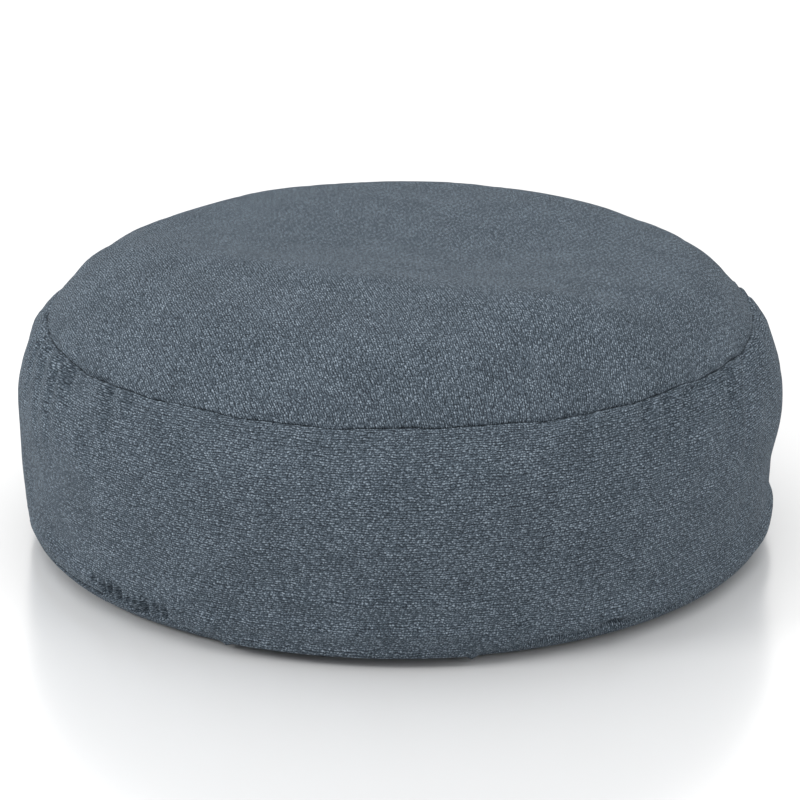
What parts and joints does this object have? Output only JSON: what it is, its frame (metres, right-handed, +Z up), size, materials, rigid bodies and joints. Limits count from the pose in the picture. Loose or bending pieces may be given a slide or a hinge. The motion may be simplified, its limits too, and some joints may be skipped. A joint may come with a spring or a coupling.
{
  "type": "floor cushion",
  "caption": "Low round bead-filled floor cushion: sewn cover with a crowned top and upright band, a zip in its bottom seam, round a liner bag of beads.",
  "frame": {"origin": "centre of the base, on the floor", "axes": "+Z up, -Y towards the plain front seam, zip from the back right (+X+Y) round the back to the front left (-X-Y)"},
  "size_m": [0.6001, 0.6001, 0.24],
  "materials": {
    "cover_cloth": "slate-blue knobbly bouclé upholstery weave",
    "cover_thread": "slate polyester sewing thread",
    "overlock_thread": "grey-blue overlock thread",
    "zip_tape": "woven polyester zip tape",
    "zip_coil": "nylon coil",
    "zip_stop": "enamelled",
    "zip_metal": "satin enamel on zinc",
    "liner_cloth": "plain white poly-cotton",
    "liner_thread": "white polyester thread",
    "liner_zip_tape": "white woven zip tape",
    "liner_zip_coil": "white nylon coil",
    "liner_zip_stop": "plain",
    "liner_zip_metal": "white enamel",
    "beads": "expanded polystyrene beads"
  },
  "bodies": {
    "cushion": {"top_panel": "cover_cloth", "side_band": "cover_cloth", "bottom_panel": "cover_cloth", "top_seam_thread": "cover_thread", "bottom_seam_thread": "cover_thread", "band_join_thread": "cover_thread", "zip_stitch_upper": "cover_thread", "zip_stitch_lower": "cover_thread", "top_seam_overlock": "overlock_thread", "bottom_seam_overlock": "overlock_thread", "zip_tape_upper": "zip_tape", "zip_tape_lower": "zip_tape", "zip_coil_upper": "zip_coil", "zip_coil_lower": "zip_coil", "zip_top_stops": "zip_stop", "zip_bottom_stop": "zip_stop", "liner_top_panel": "liner_cloth", "liner_side_band": "liner_cloth", "liner_bottom_panel": "liner_cloth", "liner_seam_threads": "liner_thread", "liner_zip_stitches": "liner_thread", "liner_zip_tapes": "liner_zip_tape", "liner_zip_coils": "liner_zip_coil", "liner_zip_stops": "liner_zip_stop", "bead_fill": "beads"},
    "slider": {"zip_slider": "zip_metal"},
    "pull": {"zip_pull": "zip_metal"},
    "liner_slider": {"liner_zip_slider": "liner_zip_metal"}
  },
  "joints": [
    {"name": "zip_run", "type": "hinge", "parent": "cushion", "child": "slider", "pos_m": [0, 0, 0], "axis": [0, 0, 1], "range_deg": [0, 150.5]},
    {"name": "pull_turn", "type": "hinge", "parent": "slider", "child": "pull", "pos_m": [0.12085, 0.274, 0.01359], "axis": [-0.1705, -0.3867, -0.9063], "range_deg": [0, 175]},
    {"name": "liner_zip_run", "type": "slide", "parent": "cushion", "child": "liner_slider", "axis": [-1, 0, 0], "range_m": [0, 0.276]}
  ]
}
